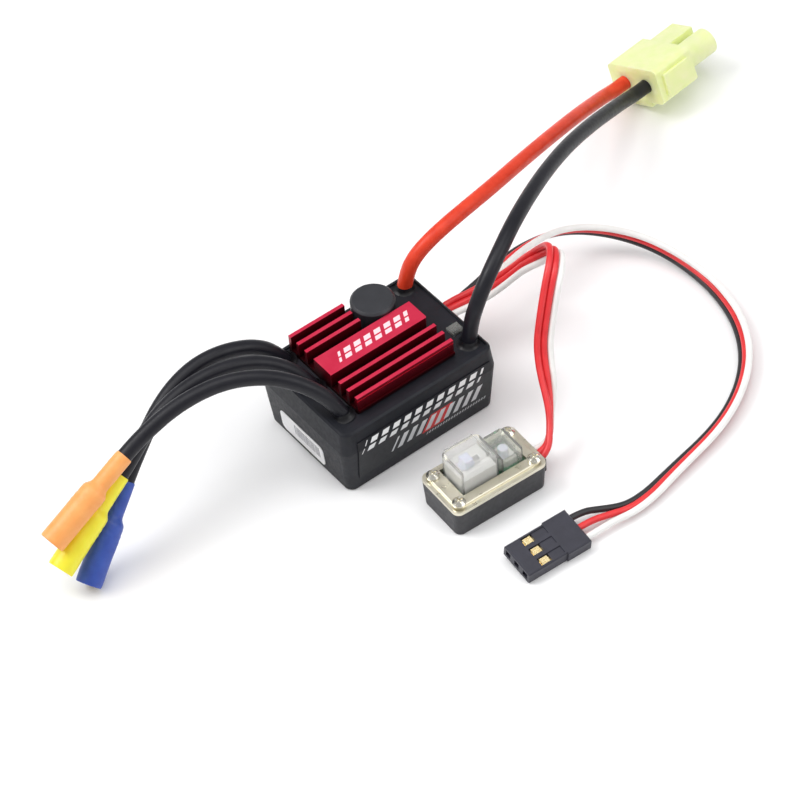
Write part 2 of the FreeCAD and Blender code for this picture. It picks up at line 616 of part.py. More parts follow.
def make_battery_connector():
    """Two-tube battery connector, tilted as it lies, with its contacts and both leads."""
    body = new_body("battery_connector")
    half = "plug_pitch / 2"
    pad(body, "0", "plug_body", [block("0", "0", "plug_thick", "plug_width")])
    dress(body, "Fillet", "plug_thick / 8", lambda edge: upright(edge, 0, dim("plug_body")))
    pad(body, "plug_body", "plug_tubes", [block("0", half, "plug_tube", "plug_tube")])
    pad(body, "plug_body", "plug_tubes", circles=[("0", f"-({half})", "plug_tube / 2")])
    ridge = [block("0", f"{side} * (plug_width / 2 + 0.3)", "plug_thick * 0.6", "0.8")
             for side in (-1, 1)]
    pad(body, "plug_body * 0.15", "plug_body * 0.7", ridge)
    latch = block("plug_thick / 2 + 0.7", "0", "1.6", "5.0")
    pad(body, "plug_body * 0.05", "plug_body * 0.75", [latch])
    end = "(plug_body + plug_tubes)"
    for side in (-1, 1):
        pocket(body, end, f"{end} - plug_hole_depth", circles=[("0", f"{side} * {half}", "plug_bore")])
        pocket(body, "0", "plug_hole_depth + 0.2",
               circles=[("0", f"{side} * {half}", "lead_radius + 0.02")], reverse=True)
    pins = []
    for side in (-1, 1):
        pin = peg(f"pin_{side + 1}", "0", f"{side} * {half}", "plug_hole_depth", "contact_radius",
                  f"{end} - plug_hole_depth - 2")
        bore = peg(f"pin_bore_{side + 1}", "0", f"{side} * {half}", f"{end} - 9", "contact_bore", "9")
        pins.append(less(f"pin_cut_{side + 1}", pin, bore, keep=False))
    joined("battery_contacts", pins)
    lie = turned(*CONNECTOR, CONNECTOR_YAW, 0.0, CONNECTOR_ROLL)
    axis_along = FreeCAD.Placement(Vector(0, 0, 0), FreeCAD.Rotation(Vector(0, 1, 0), 90))
    place = lie.multiply(axis_along)
    set_down(place, "battery_connector", "battery_contacts")
    for name, side in (("red", 1), ("black", -1)):
        mouth = place.multVec(Vector(0, side * dim("plug_pitch") / 2, 0))
        along = place.Rotation.multVec(Vector(0, 0, 1))
        inside = dim("plug_hole_depth")
        ends = [tuple(mouth - along * 3.2), tuple(mouth + along * inside)]
        tube("battery_lead_" + name, BATTERY_ROUTES[name] + ends, dim("lead_radius"))


# Ribbons: middle strand (x, y, z), then the bearing and rise of the direction across the
# ribbon from its first strand to its last, and the spacing of the strands where it opens.
RECEIVER_RIBBON = [
    (18.45, 4.2, 9.6, -90, 0), (23.2, 4.6, 9.7, -90, 6), (28.6, 5.3, 10.3, -90, 14),
    (34.2, 6.4, 10.9, -90, 24), (39.9, 7.3, 11.0, -92, 34), (45.4, 7.7, 10.4, -97, 44),
    (50.6, 7.9, 8.9, -106, 54), (55.4, 6.9, 7.2, -117, 63), (59.4, 4.7, 5.8, -127, 70),
    (62.8, 1.6, 4.6, -138, 77), (65.5, -2.3, 3.6, -158, 83), (67.3, -7.0, 2.8, 160, 85),
    (68.2, -12.1, 2.3, 60, 84), (68.3, -17.4, 2.1, 10, 79), (67.5, -22.6, 2.0, -10, 73),
    (66.0, -27.6, 2.0, -24, 66), (63.6, -32.3, 1.9, -34, 60), (60.4, -36.5, 1.9, -42, 56),
    (56.4, -40.1, 1.8, -49, 52), (51.7, -43.1, 1.7, -56, 48), (46.5, -45.4, 1.6, -62, 43),
    (41.1, -46.9, 1.5, -68, 38), (35.5, -47.9, 1.4, -73, 34), (29.9, -48.9, 1.25, -77, 30),
    (24.4, -50.0, 1.1, -81, 22), (19.2, -50.2, 1.2, -88, 12, 1.35), (14.9, -49.0, 1.6, -93, 0, 1.8),
    (11.3, -48.1, 1.9, -93, -8, 2.54), (7.65, -47.94, 1.89, -93, -8, 2.54),
]
SWITCH_RIBBON = [
    (18.45, 3.6, 11.3, -90, 0), (20.8, 3.6, 11.3, -99, -19), (25.2, 2.2, 12.2, -106, -27),
    (28.0, 1.1, 13.5, -109, -22), (30.2, -0.4, 15.5, -125, -16), (31.9, -2.0, 18.0, -129, -13),
    (33.1, -3.5, 20.4, -129, -16), (34.3, -5.2, 22.4, -118, -26), (35.4, -6.8, 24.3, -88, -39),
    (35.9, -8.4, 26.4, -55, -36), (35.4, -10.3, 27.8, -51, -32), (33.8, -12.3, 28.2, -49, -32),
    (32.1, -14.0, 27.8, -43, -27), (30.2, -15.3, 26.0, -32, -16), (28.3, -16.5, 23.1, -28, -15),
    (26.6, -17.6, 19.8, -28, -15), (24.9, -18.9, 16.7, -28, -13), (23.5, -20.9, 13.9, -25, -14),
    (22.2, -23.3, 11.5, -15, -23), (20.8, -25.5, 9.3, 13, -42), (19.1, -27.5, 7.2, 46, -52),
    (17.5, -29.4, 5.8, 43, -62), (15.0, -31.2, 4.8, 76, -30), (12.8, -31.1, 4.6, 87, 0),
]


def strand_routes(ribbon):
    """Routes of a ribbon's three strands, from its middle line and its direction across."""
    routes = [[], [], []]
    for x, y, z, bearing, rise, *opened in ribbon:
        gap = opened[0] if opened else dim("strand_pitch")
        turn, lift = math.radians(bearing), math.radians(rise)
        across = Vector(math.cos(lift) * math.cos(turn), math.cos(lift) * math.sin(turn), math.sin(lift))
        for i, route in enumerate(routes):
            route.append(tuple(Vector(x, y, z) + across * (gap * (i - 1))))
    return routes


def make_ribbon(ribbon, labels):
    """Three bonded strands of a flat cable."""
    for label, route in zip(labels, strand_routes(ribbon)):
        tube(label, route, dim("strand_radius"))


# ---------------------------------------------------------------- receiver plug

def make_receiver_plug():
    """Three-way plug, tilted as it lies, with its crimp contacts."""
    body = new_body("receiver_plug")
    pad(body, "0", "servo_thick", [block("0", "0", "servo_length", "servo_front")])
    rear = span("servo_length / 2 - servo_wide", "servo_length / 2", "-servo_rear / 2",
                "servo_rear / 2")
    pad(body, "0", "servo_thick", [rear])
    dress(body, "Chamfer", "servo_chamfer",
          lambda edge: level(edge, dim("servo_thick")) and edge.Length > 2.0)
    ways = [f"{side} * pin_pitch" for side in (-1, 0, 1)]
    low = "servo_thick / 2 - servo_socket / 2"
    high = "servo_thick / 2 + servo_socket / 2"
    pocket(body, "servo_thick", "0.25", [block("-0.2", y, "3.3", "servo_window") for y in ways])
    pocket(body, "servo_thick", "servo_thick / 2",
           [block("-2.6", y, "2.4", "servo_window") for y in ways])
    sockets = [span(f"{y} - servo_socket / 2", f"{y} + servo_socket / 2", low, high) for y in ways]
    pocket(body, "-servo_length / 2", "servo_length - 4.5", sockets, role="YZ_Plane", reverse=True)
    pocket(body, "servo_length / 2", "1.0", role="YZ_Plane",
           circles=[(y, "servo_thick / 2", "strand_radius + 0.02") for y in ways])
    contacts = []
    for side in (-1, 0, 1):
        y = f"{side} * pin_pitch"
        shell = slab(f"contact_{side + 1}", "-1.6", y, "servo_thick / 2 - 0.55", "8.4", "1.15", "1.1")
        tongue = slab(f"tongue_{side + 1}", "-2.6", y, "servo_thick / 2 + 0.5", "1.7", "1.35", "0.5")
        bore = slab(f"contact_bore_{side + 1}", "-4.6", y, "servo_thick / 2 - 0.35", "5", "0.7", "0.7")
        whole = joined(f"contact_whole_{side + 1}", [shell, tongue], keep=False)
        contacts.append(less(f"contact_cut_{side + 1}", whole, bore, keep=False))
    joined("receiver_contacts", contacts)
    middle = dim("servo_thick") / 2
    lie = turned(1.46, -47.65, 1.95, -2.7, 0.4, 8.1)
    place = lie.multiply(FreeCAD.Placement(Vector(0, 0, -middle), FreeCAD.Rotation()))
    set_down(place, "receiver_plug", "receiver_contacts")


# ---------------------------------------------------------------- switch module

def rounded_block(label, outline, under, height, radius, taper=None):
    """A body padded from one outline with its upright edges rounded."""
    body = new_body(label)
    pad(body, under, height, [outline], taper=taper)
    low, high = value(under), value(under) + value(height)
    dress(body, "Fillet", radius, lambda edge: upright(edge, low, high))
    return body


def switch_screws():
    """Centres of the four screws, as expressions."""
    return [(f"{i} * switch_screw_x", f"{j} * switch_screw_y") for i in (-1, 1) for j in (-1, 1)]


def make_switch_base():
    """Black tray with a screw post in each corner and a slot for the grommet."""
    body = rounded_block("switch_base", block("0", "0", "base_length", "base_depth"), "0",
                         "base_height", "base_round", "atan(base_grow / base_height)")
    dress(body, "Fillet", "0.3", lambda edge: level(edge, 0))
    inner = block("0", "0", "base_length - 2 * base_wall", "base_depth - 2 * base_wall")
    pocket(body, "base_height", "base_height - base_wall", [inner])
    pad(body, "base_wall", "switch_board_under - base_wall",
        circles=[(x, y, "screw_head") for x, y in switch_screws()])
    pocket(body, "base_height", "base_height - base_wall - 0.5",
           circles=[(x, y, "screw_shank") for x, y in switch_screws()])
    slot = span("base_length / 2 - base_wall - 0.5", "base_length / 2 + 1",
                "gland_y - gland_depth / 2", "gland_y + gland_depth / 2")
    pocket(body, "base_height", "base_height - gland_under", [slot])


def make_switch_plate():
    """Bright cover plate: thin flange, raised land and one window for both hoods."""
    top = "(base_height + plate_flange)"
    body = rounded_block("switch_plate", block("0", "0", "base_length + 2 * base_grow",
                                               "base_depth + 2 * base_grow"),
                         "base_height", "plate_flange", "base_round")
    land = block("0", "0", "base_length + 2 * base_grow - 2 * plate_inset",
                 "base_depth + 2 * base_grow - 2 * plate_inset")
    pad(body, top, "plate_land", [land])
    upper = dim("base_height") + dim("plate_flange") + dim("plate_land")
    dress(body, "Fillet", "base_round - 0.4", lambda edge: upright(edge, value(top), upper))
    dress(body, "Fillet", "plate_land / 2", lambda edge: level(edge, upper))
    window = span("window_left", "window_right", "window_front", "window_rear")
    pocket(body, f"{top} + plate_land", "plate_flange + plate_land", [window])
    pocket(body, f"{top} + plate_land", "plate_flange + plate_land",
           circles=[(x, y, "screw_shank + 0.02") for x, y in switch_screws()])


def make_switch_screws():
    """Four pan-head screws with a cross recess."""
    screws = []
    seat = "(base_height + plate_flange + plate_land)"
    for i, (x, y) in enumerate(switch_screws()):
        shank = peg(f"shank_{i}", x, y, "base_wall + 1.2", "screw_shank", f"{seat} - base_wall - 1.1")
        head = peg(f"head_{i}", x, y, seat, "screw_head", "screw_dome * 0.45")
        dome = moved(tagged("Cone", f"dome_{i}", Radius1="screw_head", Radius2="screw_head * 0.6",
                            Height="screw_dome * 0.55"), x, y, f"{seat} + screw_dome * 0.45")
        arms = [slab(f"arm_{i}_{k}", x, y, f"{seat} + screw_dome * 0.4", length, depth, "1")
                for k, (length, depth) in enumerate((("1.5", "0.3"), ("0.3", "1.5")))]
        whole = joined(f"screw_whole_{i}", [shank, head, dome], keep=False)
        cross = joined(f"screw_cross_{i}", arms, keep=False)
        screws.append(less(f"screw_{i}", whole, cross, keep=False))
    joined("switch_screws", screws)


def make_switch_board():
    """Small board under the plate, with a hole for each screw."""
    top = "(switch_board_under + switch_board_thick)"
    body = rounded_block("switch_board", block("0", "0", "switch_board_length", "switch_board_depth"),
                         "switch_board_under", "switch_board_thick", "0.5")
    pocket(body, top, "switch_board_thick", circles=[(x, y, "screw_shank + 0.05")
                                                    for x, y in switch_screws()])


def make_slide_switch():
    """Slide switch body with a slot in its top, and the knob that runs in the slot."""
    floor = "(switch_board_under + switch_board_thick)"
    body = new_body("slide_switch_body")
    pad(body, floor, f"slide_top - ({floor})", [block("hood_x", "hood_y", "slide_length", "slide_depth")])
    slot = block("hood_x", "hood_y", "knob_length + knob_travel + 2 * run_gap",
                 "knob_depth * 0.7 + 2 * run_gap")
    pocket(body, "slide_top", "1.5", [slot])
    knob = new_body("slide_knob")
    start = "hood_x - knob_travel / 2"
    pad(knob, "slide_top - 1.4", "1.7", [block(start, "hood_y", "knob_length", "knob_depth * 0.7")])
    pad(knob, "slide_top + 0.2", "knob_top - slide_top - 0.2",
        [block(start, "hood_y", "knob_length", "knob_depth")])
    dress(knob, "Fillet", "0.25", lambda edge: level(edge, dim("knob_top")))


def make_set_button():
    """Push button under the small hood: square body and round plunger."""
    floor = "(switch_board_under + switch_board_thick)"
    body = new_body("set_button_body")
    pad(body, floor, f"button_top - ({floor})", [block("small_x", "small_y", "button_side", "button_side")])
    dress(body, "Chamfer", "0.25", lambda edge: level(edge, dim("button_top")))
    pocket(body, "button_top", "1.2", circles=[("small_x", "small_y", "plunger_radius + run_gap")])
    plunger = new_body("set_button_plunger")
    under = "(button_top - 1.2 + button_travel + run_gap)"
    pad(plunger, under, f"plunger_top - ({under})", circles=[("small_x", "small_y", "plunger_radius")])
    dress(plunger, "Fillet", "0.2", lambda edge: level(edge, dim("plunger_top")))


def make_hoods():
    """Frosted hood over the slide switch, with a raised tier, and clear hood over the button."""
    floor = "(switch_board_under + switch_board_thick)"
    hood = rounded_block("switch_hood", block("hood_x", "hood_y", "hood_length", "hood_depth"), floor,
                         f"hood_top - ({floor})", "1.1")
    dress(hood, "Fillet", "0.6", lambda edge: level(edge, dim("hood_top")))
    tier = block("hood_x - 0.4", "hood_y + 0.3", "tier_length", "tier_depth")
    pad(hood, "hood_top - 0.1", "tier_top - hood_top + 0.1", [tier])
    dress(hood, "Fillet", "0.3", lambda edge: level(edge, dim("tier_top")))
    inner = block("hood_x", "hood_y", "hood_length - 2 * hood_wall", "hood_depth - 2 * hood_wall")
    pocket(hood, floor, f"hood_top - hood_wall / 2 - ({floor})", [inner], reverse=True)
    small = rounded_block("button_hood", block("small_x", "small_y", "small_length", "small_depth"),
                          floor, f"small_top - ({floor})", "1.0")
    dress(small, "Fillet", "0.5", lambda edge: level(edge, dim("small_top")))
    inner = block("small_x", "small_y", "small_length - 1", "small_depth - 1")
    pocket(small, floor, f"small_top - 0.5 - ({floor})", [inner], reverse=True)


def make_switch_gland():
    """Rubber grommet where the switch ribbon enters the module."""
    body = new_body("switch_gland")
    outline = span("switch_screw_x + screw_shank + 0.05", "gland_face",
                   "gland_y - gland_depth / 2 + 0.02", "gland_y + gland_depth / 2 - 0.02")
    pad(body, "gland_under + 0.02", "base_height - gland_under - 0.04", [outline])
    dress(body, "Fillet", "0.3", lambda edge: edge.BoundBox.XMin > dim("gland_face") - 0.01)


SWITCH_PLACE = (1.9, -29.0, 0.0)
SWITCH_YAW = -2.7
SWITCH_PARTS = ("switch_base", "switch_plate", "switch_screws", "switch_board", "slide_switch_body",
                "slide_knob", "set_button_body", "set_button_plunger", "switch_hood", "button_hood",
                "switch_gland")


def make_switch_module():
    """Everything in the switch module, built square and then set down where it lies."""
    make_switch_base()
    make_switch_plate()
    make_switch_screws()
    make_switch_board()
    make_slide_switch()
    make_set_button()
    make_hoods()
    make_switch_gland()
    set_down(turned(*SWITCH_PLACE, SWITCH_YAW), *SWITCH_PARTS)


# ---------------------------------------------------------------- check and write

def check_all():
    """Stop if any object failed or any sub-part is empty or not valid."""
    DOC.recompute()
    for item in DOC.Objects:
        if "Invalid" in item.State or "Error" in item.State:
            raise RuntimeError(f"{item.Name} is {item.State}")
    for label, made in PARTS.items():
        if made.Shape.isNull() or not made.Shape.isValid():
            raise RuntimeError(label + " has no valid shape")
        if made.Shape.Volume <= 0:
            raise RuntimeError(label + " has no volume")


def write_parts():
    """One STEP file for each sub-part, named after it."""
    os.makedirs("parts", exist_ok=True)
    for label, made in PARTS.items():
        made.Shape.exportStep(f"parts/{label}.step")
    print(len(PARTS), "parts written")


def main():
    """Build the whole controller."""
    fill_sheet()
    make_case_base()
    make_case_cover()
    make_heatsink()
    make_capacitor()
    make_circuit()
    make_lens()
    make_grommet()
    make_labels()
    for name in MOTOR_ROUTES:
        make_motor_lead(name)
    make_battery_connector()
    make_seals()
    make_ribbon(RECEIVER_RIBBON, ("receiver_wire_black", "receiver_wire_red", "receiver_wire_white"))
    make_receiver_plug()
    make_ribbon(SWITCH_RIBBON, ("switch_wire_red", "switch_wire_red_inner", "switch_wire_white"))
    make_switch_module()
    check_all()
    write_parts()


main()
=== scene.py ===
import bmesh
import bpy
import json
import math
from mathutils import Matrix, Vector, noise


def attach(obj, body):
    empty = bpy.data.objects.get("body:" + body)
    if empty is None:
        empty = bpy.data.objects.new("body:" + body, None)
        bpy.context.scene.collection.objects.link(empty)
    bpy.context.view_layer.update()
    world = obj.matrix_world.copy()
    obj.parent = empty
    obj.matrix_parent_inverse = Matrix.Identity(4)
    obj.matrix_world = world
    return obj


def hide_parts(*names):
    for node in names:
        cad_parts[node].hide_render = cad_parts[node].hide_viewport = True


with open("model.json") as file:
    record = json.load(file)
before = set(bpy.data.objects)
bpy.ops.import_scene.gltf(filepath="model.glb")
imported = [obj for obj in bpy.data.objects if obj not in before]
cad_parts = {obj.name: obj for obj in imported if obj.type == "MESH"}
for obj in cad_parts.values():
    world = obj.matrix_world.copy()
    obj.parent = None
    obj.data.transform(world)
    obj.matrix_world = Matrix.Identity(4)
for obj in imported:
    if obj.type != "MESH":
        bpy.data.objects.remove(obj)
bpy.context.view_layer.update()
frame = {"nodes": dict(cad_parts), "record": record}
MM = 0.001
SCENE = bpy.context.scene

# Heights on the case, in millimetres.
DECK = 15.66
SINK_FLOOR = 16.3
SINK_TOP = 19.6


# ---------------------------------------------------------------- camera

def add_camera():
    """Camera at the viewing angle, given by azimuth, elevation and roll about a target."""
    azimuth, elevation, roll = math.radians(-34.225), math.radians(48.054), math.radians(-4.986)
    distance = 562.85 * MM
    target = Vector((-0.92, -7.68, 10.0)) * MM
    back = Vector((math.sin(azimuth) * math.cos(elevation),
                   -math.cos(azimuth) * math.cos(elevation), math.sin(elevation)))
    level = Vector((math.cos(azimuth), math.sin(azimuth), 0.0))
    steep = back.cross(level)
    right = level * math.cos(roll) + steep * math.sin(roll)
    up = -level * math.sin(roll) + steep * math.cos(roll)
    data = bpy.data.cameras.new("camera")
    data.lens = 135.0
    data.sensor_width = 36.0
    data.clip_start = 0.05
    camera = bpy.data.objects.new("camera", data)
    SCENE.collection.objects.link(camera)
    turn = Matrix((right, up, back)).transposed().to_4x4()
    camera.matrix_world = Matrix.Translation(target + back * distance) @ turn
    SCENE.camera = camera


# ---------------------------------------------------------------- cords

# Routes in millimetres, the same points as in the model.
MOTOR_ROUTES = {
    "a": [(-13.8, -8.0, 15.3), (-15.1, -6.6, 18.9), (-17.3, -4.6, 22.0), (-20.3, -2.3, 24.6),
          (-23.8, 0.1, 26.4), (-27.8, 2.1, 27.4), (-32.1, 3.8, 27.6), (-36.6, 4.9, 27.2),
          (-41.4, 5.6, 26.2), (-46.1, 5.8, 24.7)],
    "b": [(-13.8, 0.9, 15.3), (-15.4, 2.6, 18.6), (-17.9, 4.4, 21.4), (-21.3, 6.2, 23.6),
          (-25.3, 7.6, 24.9), (-29.8, 8.6, 25.4), (-34.6, 9.2, 25.1), (-39.6, 9.3, 24.0),
          (-44.2, 8.7, 22.4), (-48.2, 7.7, 20.4)],
    "c": [(-13.8, 10.1, 15.3), (-15.8, 10.7, 18.9), (-18.8, 11.6, 21.7), (-22.8, 12.4, 23.4),
          (-27.3, 13.1, 24.2), (-31.9, 13.3, 24.1), (-36.5, 12.8, 23.1), (-40.8, 11.8, 21.4),
          (-44.7, 10.3, 19.4), (-47.9, 8.9, 17.3)],
}
SLEEVES = {
    "a": ((-53.1, 5.3, 22.1), (-71.8, 2.9, 14.5), "orange"),
    "b": ((-54.2, 6.0, 17.0), (-71.8, 1.8, 7.9), "yellow"),
    "c": ((-52.9, 6.7, 13.8), (-67.8, 0.0, 2.0), "blue"),
}
LEAD_INSIDE_SLEEVE = 2.5
BATTERY_ROUTES = {
    "red": [(14.4, 10.2, 15.3), (15.3, 10.2, 19.3), (17.4, 9.9, 22.8), (20.7, 9.5, 25.2),
            (25.0, 9.6, 26.5), (30.6, 10.4, 26.8), (38.6, 12.4, 25.9), (48.8, 16.2, 23.4),
            (60.2, 21.2, 19.2), (71.4, 26.7, 14.0), (79.4, 31.0, 9.4), (84.6, 33.6, 6.6),
            (88.47, 34.66, 5.29), (93.63, 35.3, 5.29)],
    "black": [(14.9, -8.9, 15.3), (15.6, -8.9, 20.2), (17.6, -8.8, 24.8), (21.0, -7.9, 28.6),
              (25.7, -5.9, 31.0), (31.5, -2.7, 31.9), (39.0, 1.9, 30.6), (48.0, 7.5, 27.7),
              (58.4, 13.7, 23.3), (69.3, 19.5, 18.0), (78.4, 24.1, 13.1), (84.6, 27.3, 9.6),
              (89.17, 28.96, 7.61), (94.34, 29.59, 7.61)],
}
# Ribbons: middle strand, then bearing and rise of the direction across from the first strand
# to the last, and the spacing of the strands where it opens.
RECEIVER_RIBBON = [
    (18.45, 4.2, 9.6, -90, 0), (23.2, 4.6, 9.7, -90, 6), (28.6, 5.3, 10.3, -90, 14),
    (34.2, 6.4, 10.9, -90, 24), (39.9, 7.3, 11.0, -92, 34), (45.4, 7.7, 10.4, -97, 44),
    (50.6, 7.9, 8.9, -106, 54), (55.4, 6.9, 7.2, -117, 63), (59.4, 4.7, 5.8, -127, 70),
    (62.8, 1.6, 4.6, -138, 77), (65.5, -2.3, 3.6, -158, 83), (67.3, -7.0, 2.8, 160, 85),
    (68.2, -12.1, 2.3, 60, 84), (68.3, -17.4, 2.1, 10, 79), (67.5, -22.6, 2.0, -10, 73),
    (66.0, -27.6, 2.0, -24, 66), (63.6, -32.3, 1.9, -34, 60), (60.4, -36.5, 1.9, -42, 56),
    (56.4, -40.1, 1.8, -49, 52), (51.7, -43.1, 1.7, -56, 48), (46.5, -45.4, 1.6, -62, 43),
    (41.1, -46.9, 1.5, -68, 38), (35.5, -47.9, 1.4, -73, 34), (29.9, -48.9, 1.25, -77, 30),
    (24.4, -50.0, 1.1, -81, 22), (19.2, -50.2, 1.2, -88, 12, 1.35), (14.9, -49.0, 1.6, -93, 0, 1.8),
    (11.3, -48.1, 1.9, -93, -8, 2.54), (7.65, -47.94, 1.89, -93, -8, 2.54),
]
SWITCH_RIBBON = [
    (18.45, 3.6, 11.3, -90, 0), (20.8, 3.6, 11.3, -99, -19), (25.2, 2.2, 12.2, -106, -27),
    (28.0, 1.1, 13.5, -109, -22), (30.2, -0.4, 15.5, -125, -16), (31.9, -2.0, 18.0, -129, -13),
    (33.1, -3.5, 20.4, -129, -16), (34.3, -5.2, 22.4, -118, -26), (35.4, -6.8, 24.3, -88, -39),
    (35.9, -8.4, 26.4, -55, -36), (35.4, -10.3, 27.8, -51, -32), (33.8, -12.3, 28.2, -49, -32),
    (32.1, -14.0, 27.8, -43, -27), (30.2, -15.3, 26.0, -32, -16), (28.3, -16.5, 23.1, -28, -15),
    (26.6, -17.6, 19.8, -28, -15), (24.9, -18.9, 16.7, -28, -13), (23.5, -20.9, 13.9, -25, -14),
    (22.2, -23.3, 11.5, -15, -23), (20.8, -25.5, 9.3, 13, -42), (19.1, -27.5, 7.2, 46, -52),
    (17.5, -29.4, 5.8, 43, -62), (15.0, -31.2, 4.8, 76, -30), (12.8, -31.1, 4.6, 87, 0),
]
# Diameters of the leads and the ribbon strands, and the strands' spacing, in millimetres.
LEAD_DIAMETER = 3.0
STRAND_DIAMETER = 1.3
STRAND_PITCH = 1.3
# Each ribbon's far end, the length of a strand, and each strand with its colour.
RIBBONS = (
    (RECEIVER_RIBBON, "plug", 145.0, {"receiver_wire_black": "black", "receiver_wire_red": "red",
                                      "receiver_wire_white": "white"}),
    (SWITCH_RIBBON, "fitting", 72.0, {"switch_wire_red": "red", "switch_wire_red_inner": "red",
                                      "switch_wire_white": "white"}),
)


def add_cord(name, route, diameter, material):
    """A cord as one smooth curve, in place of its CAD tube."""
    curve = bpy.data.curves.new(name + "_cord", "CURVE")
    curve.dimensions = "3D"
    spline = curve.splines.new("NURBS")
    spline.points.add(len(route) - 1)
    for point, place in zip(spline.points, route):
        point.co = (*(Vector(place) * MM), 1.0)
    spline.order_u = 3
    spline.use_endpoint_u = True
    curve.resolution_u = 14
    curve.bevel_depth = diameter / 2 * MM
    curve.bevel_resolution = 7
    curve.use_fill_caps = True
    curve.materials.append(material)
    piece = bpy.data.objects.new(name + "_cord", curve)
    SCENE.collection.objects.link(piece)
    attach(piece, "root")
    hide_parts(name)
    return piece


def strand_routes(ribbon):
    """Routes of a ribbon's three strands, from its middle line and its direction across."""
    routes = [[], [], []]
    for x, y, z, bearing, rise, *opened in ribbon:
        gap = opened[0] if opened else STRAND_PITCH
        turn, lift = math.radians(bearing), math.radians(rise)
        across = Vector((math.cos(lift) * math.cos(turn), math.cos(lift) * math.sin(turn),
                         math.sin(lift)))
        for i, route in enumerate(routes):
            route.append(Vector((x, y, z)) + across * (gap * (i - 1)))
    return routes


# ---------------------------------------------------------------- material helpers

BAR_LEAN = 0.5          # sideways shift of a printed bar per unit of its height


class Surface:
    """A procedural material being built on one Principled shader."""

    def __init__(self, name, colour, roughness, **sockets):
        self.material = bpy.data.materials.new(name)
        self.material.use_nodes = True
        self.tree = self.material.node_tree
        self.shader = self.tree.nodes["Principled BSDF"]
        self.shader.inputs["Base Color"].default_value = (*colour, 1.0)
        self.shader.inputs["Roughness"].default_value = roughness
        for socket, value in sockets.items():
            self.shader.inputs[socket.replace("_", " ")].default_value = value
        self.place = self.tree.nodes.new("ShaderNodeTexCoord").outputs["Object"]

    def node(self, kind, **inputs):
        """A new node with some of its inputs set or linked."""
        made = self.tree.nodes.new("ShaderNode" + kind)
        for key, value in inputs.items():
            self.feed(made.inputs[key.replace("_", " ")], value)
        return made

    def feed(self, socket, value):
        """Link an output to a socket, or set its value."""
        if isinstance(value, bpy.types.NodeSocket):
            self.tree.links.new(value, socket)
        else:
            socket.default_value = value

    def stretched(self, scale):
        """Object coordinates scaled along each axis."""
        mapping = self.node("Mapping", Vector=self.place)
        mapping.inputs["Scale"].default_value = scale
        return mapping.outputs["Vector"]

    def noise(self, size_mm, detail=3.0, rough=0.55, vector=None):
        """Noise whose grain is about that size."""
        made = self.node("TexNoise", Vector=vector or self.place, Scale=1.0 / (size_mm * MM),
                         Detail=detail, Roughness=rough)
        return made.outputs["Fac"]

    def mix(self, factor, first, second):
        """A colour between two by a factor."""
        ramp = self.tree.nodes.new("ShaderNodeMix")
        ramp.data_type = "RGBA"
        self.feed(ramp.inputs["Factor"], factor)
        for socket, colour in ((ramp.inputs[6], first), (ramp.inputs[7], second)):
            self.feed(socket, colour if isinstance(colour, bpy.types.NodeSocket) else (*colour, 1.0))
        return ramp.outputs[2]

    def math(self, operation, first, second=0.0, third=None):
        """One sum on sockets or numbers."""
        made = self.tree.nodes.new("ShaderNodeMath")
        made.operation = operation
        self.feed(made.inputs[0], first)
        self.feed(made.inputs[1], second)
        if third is not None:
            self.feed(made.inputs[2], third)
        return made.outputs[0]

    def span(self, value, low, high):
        """Spread a factor from its own middle range to low..high."""
        made = self.node("MapRange", Value=value)
        made.inputs["From Min"].default_value = 0.3
        made.inputs["From Max"].default_value = 0.7
        made.inputs["To Min"].default_value = low
        made.inputs["To Max"].default_value = high
        return made.outputs["Result"]

    def tint(self, factor, first, second):
        """Vary the base colour between two by a factor."""
        self.feed(self.shader.inputs["Base Color"], self.mix(factor, first, second))

    def gloss(self, factor, low, high):
        """Vary the roughness by a factor."""
        self.feed(self.shader.inputs["Roughness"], self.span(factor, low, high))

    def relief(self, height, depth_mm, strength=1.0):
        """Raise the surface by a height of about that depth, over any relief already there."""
        bump = self.node("Bump", Height=height, Strength=strength, Distance=depth_mm * MM)
        old = self.shader.inputs["Normal"].links
        if old:
            self.tree.links.new(old[0].from_socket, bump.inputs["Normal"])
        self.tree.links.new(bump.outputs["Normal"], self.shader.inputs["Normal"])

    def axes(self):
        """The object coordinates as three sockets, in millimetres."""
        scaled = self.stretched((1 / MM, 1 / MM, 1 / MM))
        split = self.node("SeparateXYZ", Vector=scaled)
        return split.outputs["X"], split.outputs["Y"], split.outputs["Z"]

    def facing_up(self):
        """The height part of the surface's direction in the object's own frame."""
        facing = self.node("SeparateXYZ", Vector=self.place.node.outputs["Normal"])
        return facing.outputs["Z"]

    def inside(self, value, low, high, soft=0.03):
        """One where the value lies between low and high, and zero elsewhere."""
        rise = self.ramp(value, low - soft, low + soft)
        fall = self.ramp(value, high + soft, high - soft)
        return self.math("MULTIPLY", rise, fall)

    def ramp(self, value, start, end):
        """Zero at the start and one at the end, held outside."""
        made = self.node("MapRange", Value=value)
        made.inputs["From Min"].default_value = start
        made.inputs["From Max"].default_value = end
        return made.outputs["Result"]

    def both(self, *factors):
        """The product of several factors."""
        total = factors[0]
        for factor in factors[1:]:
            total = self.math("MULTIPLY", total, factor)
        return total

    def either(self, *factors):
        """The largest of several factors."""
        total = factors[0]
        for factor in factors[1:]:
            total = self.math("MAXIMUM", total, factor)
        return total


